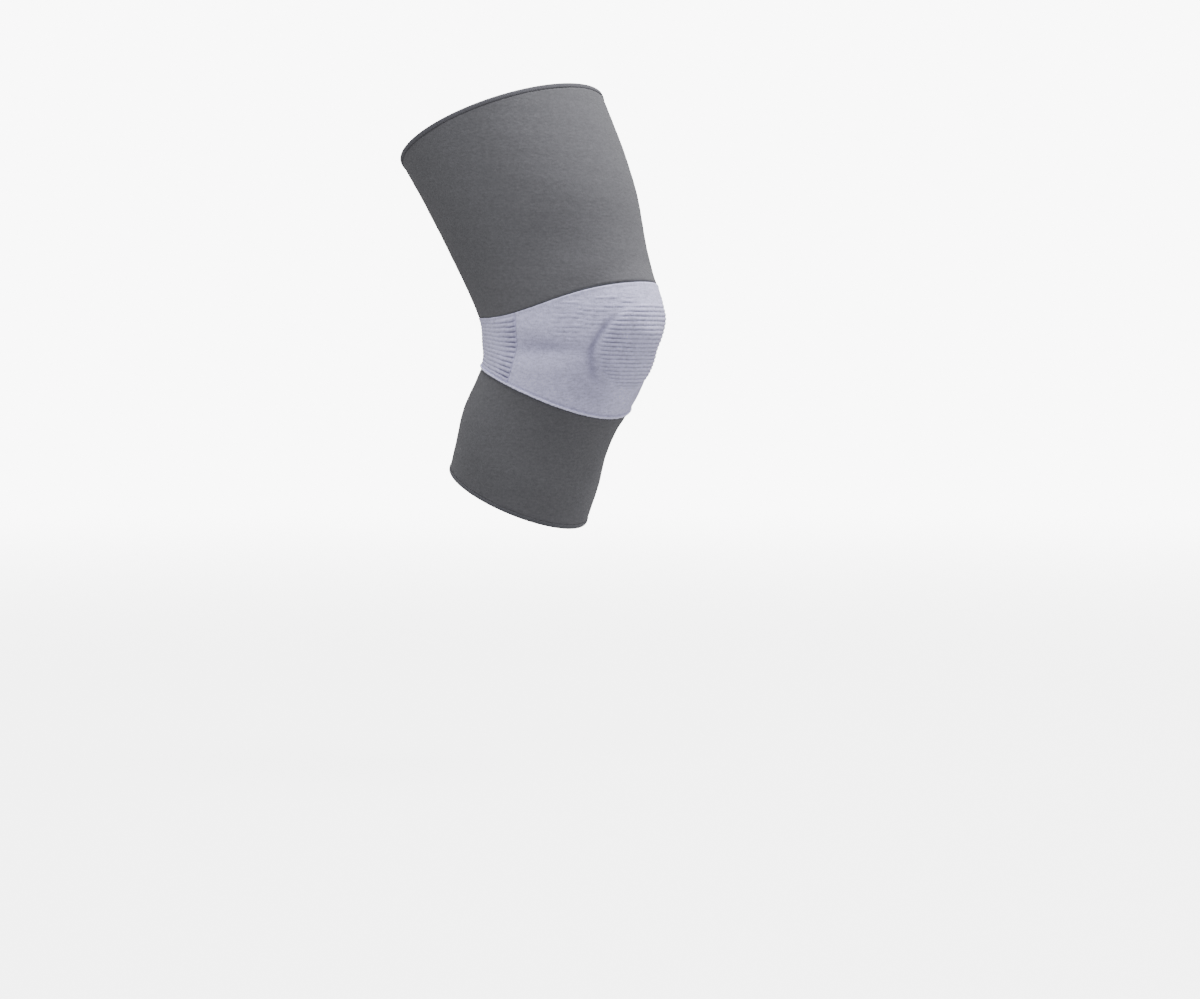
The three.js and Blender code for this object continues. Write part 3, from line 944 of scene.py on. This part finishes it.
class SLEEVE_OT_knee_front(bpy.types.Operator):
    """Pale knit of the front and the sides, ribbed over the soft ring"""

    bl_idname = "sleeve.knee_front"
    bl_label = "Knee front"

    def execute(self, context):
        half = pi - 0.5 * BACK_PANEL - 0.5 * JOIN_GAP / KNEE_WIDTH
        angles = np.linspace(-half, half, FRONT_COLUMNS + 1)
        under, ribbed, over = (np.linspace(0, 1, rows + 1)[:, None] for rows in FRONT_ROWS)

        def rows_at(u):
            low, high = -np.minimum(40, -0.8 * band_bottom(u)), np.minimum(31, 0.85 * band_top(u))
            return axis_distance(u, np.concatenate([
                band_bottom(u) + (low - band_bottom(u)) * under[:-1],
                low + (high - low) * ribbed,
                high + (band_top(u) - high) * over[1:]]))

        def edge_swell(u, along):
            height = cloth_distance(u, along)
            rolled = 0.4 * bell(edge_distance(u, height), 0.8, 1.0) + 0.1 * unevenness(u, height)
            return rolled - CHANNEL_DEPTH * pad_channel(u, height)

        def ridges(u, along):
            height = cloth_distance(u, along)
            turn = turn_from_front(u)
            low = -np.minimum(RIBBED_BELOW + 4, -0.75 * band_bottom(u))
            high = np.minimum(RIBBED_ABOVE + 2 * smooth(turn, 0.6, 0.9), band_top(u) - 3)
            channel = pad_channel(u, height)
            on_pad = smooth(1 - pad_distance(u, height), 0.04, 0.18)
            side = smooth_turn(turn, 36, 56)
            beside = (0.14 + 0.42 * smooth(height, -5, 5)) * (1 - smooth_turn(turn, 58, 68))
            inside = smooth(height, low, low + 2) * (1 - smooth(height, high - 1.5, high))
            uneven = 1 + 0.25 * unevenness(2.3 * u, height)
            sunk_ends = 4 * smooth_turn(turn, 12, 36) * (1 - smooth(height, -34, -14))
            pitch = (RIBBED_ABOVE + RIBBED_BELOW) / FRONT_RIBS * (1 + 0.12 * side)
            phase = 12.1 + (height - sunk_ends) / pitch
            runs = 0.25 + 0.75 * broken_up(turn, phase)
            stretched = 1 - 0.3 * bell(turn, 0, radians(26))
            share = np.maximum(on_pad * stretched, beside * runs) * inside * uneven
            share = share * (1 - 0.8 * np.minimum(1, 1.4 * channel))
            share = np.maximum(share, 0.65 * loose_floats(turn, height, phase))
            # Painted shade in the side fold, laid over the real fold in the relief.
            painted_fold_shade = 0.4 * bell(height, -4, 6) * bell(turn, radians(72), radians(26))
            # Painted shadow: a thin dark line just above the bead along the band's lower line.
            painted_bead_shadow = 0.45 * bell(height - band_bottom(u), 2.4, 0.8)
            # The channel attribute is painted shade, mixed into the colour: in the pad's channel, in the side
            # fold, above the bead and round the pad's lower half.
            return {"ridge_phase": phase + 0.05 * unevenness(3.7 * u, height), "ridge_share": share,
                    "channel": 0.7 * channel + painted_fold_shade + painted_bead_shadow + 0.26 * painted_shade_round_pad(u, height)}

        obj = ribbed_wall("knee_front_knit", "knee_front", angles, rows_at, FRONT_STRIDE, edge_swell,
                          ridges, 1.0)
        return {"FINISHED"}


class SLEEVE_OT_back_panel(bpy.types.Operator):
    """Pale ribbed knit of the back panel"""

    bl_idname = "sleeve.back_panel"
    bl_label = "Back panel"

    def execute(self, context):
        half = 0.5 * BACK_PANEL - 0.5 * JOIN_GAP / KNEE_WIDTH
        angles = np.linspace(pi - half, pi + half, BACK_COLUMNS + 1)
        rows = BACK_ROWS_PER_RIB * (BACK_RIBS + 1)
        one_rib = 1.0 / (BACK_RIBS + 1)
        share = np.linspace(0, 1, rows + 1)[:, None]

        def rows_at(u):
            return axis_distance(u, band_bottom(u) + (band_top(u) - band_bottom(u)) * share)

        def edge_swell(u, along):
            height = cloth_distance(u, along)
            return 0.3 * bell(edge_distance(u, height), 0.7, 0.8) + 0.08 * unevenness(u, height)

        def ridges(u, along):
            height = cloth_distance(u, along)
            inside = smooth(share, 0.5 * one_rib, one_rib)
            inside = inside * (1 - smooth(share, 1 - one_rib, 1 - 0.5 * one_rib))
            from_seam = (half - np.abs(u - pi)) * 0.5 * KNEE_WIDTH
            uneven = 1 + 0.2 * unevenness(2.1 * u, height)
            strong = 0.36 + 0.84 * bell(from_seam, 0, 11) + 0.2 * (1 - smooth(share, 0.1, 0.5))
            # Painted shade along the seam's upper part, where the rib ends sit in shadow.
            painted_seam_shade = 0.5 * bell(from_seam, 0.7, 0.7) * smooth(share, 0.5, 0.8)
            # The channel attribute darkens the whole panel a tenth of the way to the groove colour, and adds
            # the painted seam shade.
            return {"ridge_phase": share * (BACK_RIBS + 1) + 0.5 + 0.08 * unevenness(3.3 * u, height),
                    "ridge_share": inside * smooth(from_seam, 0.0, 1.2) * uneven * strong,
                    "channel": np.broadcast_to(0.1 + painted_seam_shade, height.shape)}

        obj = ribbed_wall("back_panel_knit", "back_panel", angles, rows_at, BACK_STRIDE, edge_swell,
                          ridges, 1.15)
        return {"FINISHED"}


class SLEEVE_OT_band_bead(bpy.types.Operator):
    """Thin raised row of pale stitches along the band's lower line"""

    bl_idname = "sleeve.band_bead"
    bl_label = "Band bead"

    def execute(self, context):
        # The thread is a little lighter than the band's knit: a painted highlight on the raised bead.
        light = [min(1.0, 1.08 * c) for c in knit_settings().pale]
        thread = shared_material("Pale thread", yarn_material, light, 0.3)
        stitch_row(
            "lower_band_stitches", lambda u: axis_distance(u, band_bottom(u) + 0.6), 0.55, thread,
            "pale_knit", Pitch=0.0013, Length=0.0034, Width=0.0011, Height=0.0013, Slant=radians(16),
            Unevenness=0.2)
        return {"FINISHED"}


class SLEEVE_OT_patella_ring(bpy.types.Operator):
    """Soft oval kneecap ring inside the cloth"""

    bl_idname = "sleeve.patella_ring"
    bl_label = "Patella ring"

    def execute(self, context):
        turn = np.linspace(0, 2 * pi, RING_COLUMNS + 1)[:-1][:, None]
        about = (np.arange(RING_SIDES) + 0.5)[None, :] / RING_SIDES * 2 * pi
        plump = np.sign(np.sin(about)) * np.abs(np.sin(about)) ** 0.8
        inset = 0.5 * RING_BAND * (1 - np.cos(about))
        across = KNEECAP_ASIDE + (0.5 * RING_WIDTH - inset) * np.sin(turn)
        height = -PAD_BELOW + (0.5 * RING_HEIGHT - inset) * np.cos(turn)
        u = np.arcsin(across / (0.5 * KNEE_WIDTH))
        along = axis_distance(u, height)
        sunk = 0.5 * RING_THICKNESS * (1 - plump)
        points = cloth_point(u, along, relief(u, along) - WALL - RING_CLEARANCE - sunk)
        rows, columns = points.shape[:2]
        faces = np.stack([(r % rows) * columns + c % columns for r, c in squares(rows, columns)], 1)
        obj = new_object("patella_pad", mesh_of("patella_pad", points.reshape(-1, 3) * MM, [faces]))
        material = shared_material("Soft ring", pad_material, knit_settings().pad)
        dress(obj, material, "patella_ring")
        return {"FINISHED"}


class SLEEVE_OT_stage(bpy.types.Operator):
    """Pale floor, soft studio light and the camera"""

    bl_idname = "sleeve.stage"
    bl_label = "Stage"

    def execute(self, context):
        s = context.scene.sleeve_stage
        turn = np.linspace(0, 2 * pi, 97)[:-1]
        rings = np.linspace(0.2, FLOOR_REACH, 16)
        points = [(0.0, 0.0, 0.0)]
        points += [(r * cos(a), r * sin(a), 0.0) for r in rings for a in turn]
        n = len(turn)
        faces = [(0, 1 + i, 1 + (i + 1) % n) for i in range(n)]
        for r in range(len(rings) - 1):
            low, high = 1 + r * n, 1 + (r + 1) * n
            faces += [(low + i, high + i, high + (i + 1) % n, low + (i + 1) % n) for i in range(n)]
        mesh = bpy.data.meshes.new("floor")
        mesh.from_pydata(points, [], faces)
        floor = new_object("floor", mesh)
        floor.location = (0.0, 0.0, LOWEST_POINT - s.floor_drop)
        floor.data.materials.append(floor_material(FLOOR_COLOUR, s.floor_glow, *FLOOR_FADE))
        self.make_lights(context, s)
        self.make_camera(context, s)
        return {"FINISHED"}

    def view_axes(self, s):
        """Directions to the right, up and towards the camera, in the main view."""
        a, e = s.azimuth, s.elevation
        back = Vector((sin(a) * cos(e), -cos(a) * cos(e), sin(e)))
        right = Vector((cos(a), sin(a), 0))
        return right, back.cross(right), back

    def area_light(self, name, place, target, size, power, colour):
        light = bpy.data.lights.new(name, "AREA")
        light.shape = "DISK"
        light.size = size
        light.energy = power
        light.color = colour
        facing(name, light, place, target)

    def make_lights(self, context, s):
        right, up, back = self.view_axes(s)
        target = Vector((0, 0.02, 0.03))
        key = target + right * 1.08 + up * 2.48 - back * 0.08
        self.area_light("key_light", key, target, 1.25, s.key_power, (1.0, 0.995, 0.99))
        fill = target - right * 0.27 + up * 2.43 + back * 1.17
        self.area_light("fill_light", fill, target, 1.6, s.fill_power, (0.99, 0.995, 1.0))
        side = target + right * 2.0 - up * 0.5 - back * 0.55
        self.area_light("side_light", side, target, 1.0, s.side_power, (1.0, 1.0, 1.0))
        world = bpy.data.worlds.new("Studio")
        context.scene.world = world
        world.use_nodes = True
        tree = world.node_tree
        tree.nodes.clear()
        room, backdrop = (
            node_of(tree, "ShaderNodeBackground", {"Color": (1, 1, 1, 1), "Strength": light}).outputs[0]
            for light in (s.room_light, s.backdrop_light))
        seen = tree.nodes.new("ShaderNodeLightPath").outputs["Is Camera Ray"]
        mixed = node_of(tree, "ShaderNodeMixShader", {0: seen, 1: room, 2: backdrop}).outputs[0]
        node_of(tree, "ShaderNodeOutputWorld", {"Surface": mixed})

    def make_camera(self, context, s):
        right, up, back = self.view_axes(s)
        camera = bpy.data.cameras.new("camera")
        camera.sensor_width = 36.0
        camera.lens = 85.5
        camera.clip_start = 0.05
        camera.clip_end = 50.0
        target = right * 0.018 - up * 0.105
        context.scene.camera = facing("camera", camera, back * s.distance, target)


class SLEEVE_PT_panel(bpy.types.Panel):
    """Lists the steps that build the sleeve"""

    bl_idname = "SLEEVE_PT_panel"
    bl_label = "Knee sleeve"
    bl_space_type = "VIEW_3D"
    bl_region_type = "UI"
    bl_category = "Knee sleeve"

    def draw(self, context):
        for group in (context.scene.sleeve_knit, context.scene.sleeve_stage):
            column = self.layout.column()
            for name in group.__annotations__:
                column.prop(group, name)
        for step in STEPS:
            self.layout.operator(step.bl_idname)


STEPS = (
    SLEEVE_OT_stage,
    SLEEVE_OT_rolled_edges,
    SLEEVE_OT_grey_sections,
    SLEEVE_OT_band_bead,
    SLEEVE_OT_knee_front,
    SLEEVE_OT_back_panel,
    SLEEVE_OT_patella_ring,
)
CLASSES = (SleeveKnit, SleeveStage, *STEPS, SLEEVE_PT_panel)


def register():
    for cls in CLASSES:
        bpy.utils.register_class(cls)
    bpy.types.Scene.sleeve_knit = PointerProperty(type=SleeveKnit)
    bpy.types.Scene.sleeve_stage = PointerProperty(type=SleeveStage)


def unregister():
    del bpy.types.Scene.sleeve_stage
    del bpy.types.Scene.sleeve_knit
    for cls in reversed(CLASSES):
        bpy.utils.unregister_class(cls)


def main():
    """Builds the sleeve step by step."""
    register()
    bpy.ops.sleeve.stage()
    bpy.ops.sleeve.rolled_edges()
    bpy.ops.sleeve.grey_sections()
    bpy.ops.sleeve.band_bead()
    bpy.ops.sleeve.knee_front()
    bpy.ops.sleeve.back_panel()
    bpy.ops.sleeve.patella_ring()


if __name__ == "__main__":
    main()
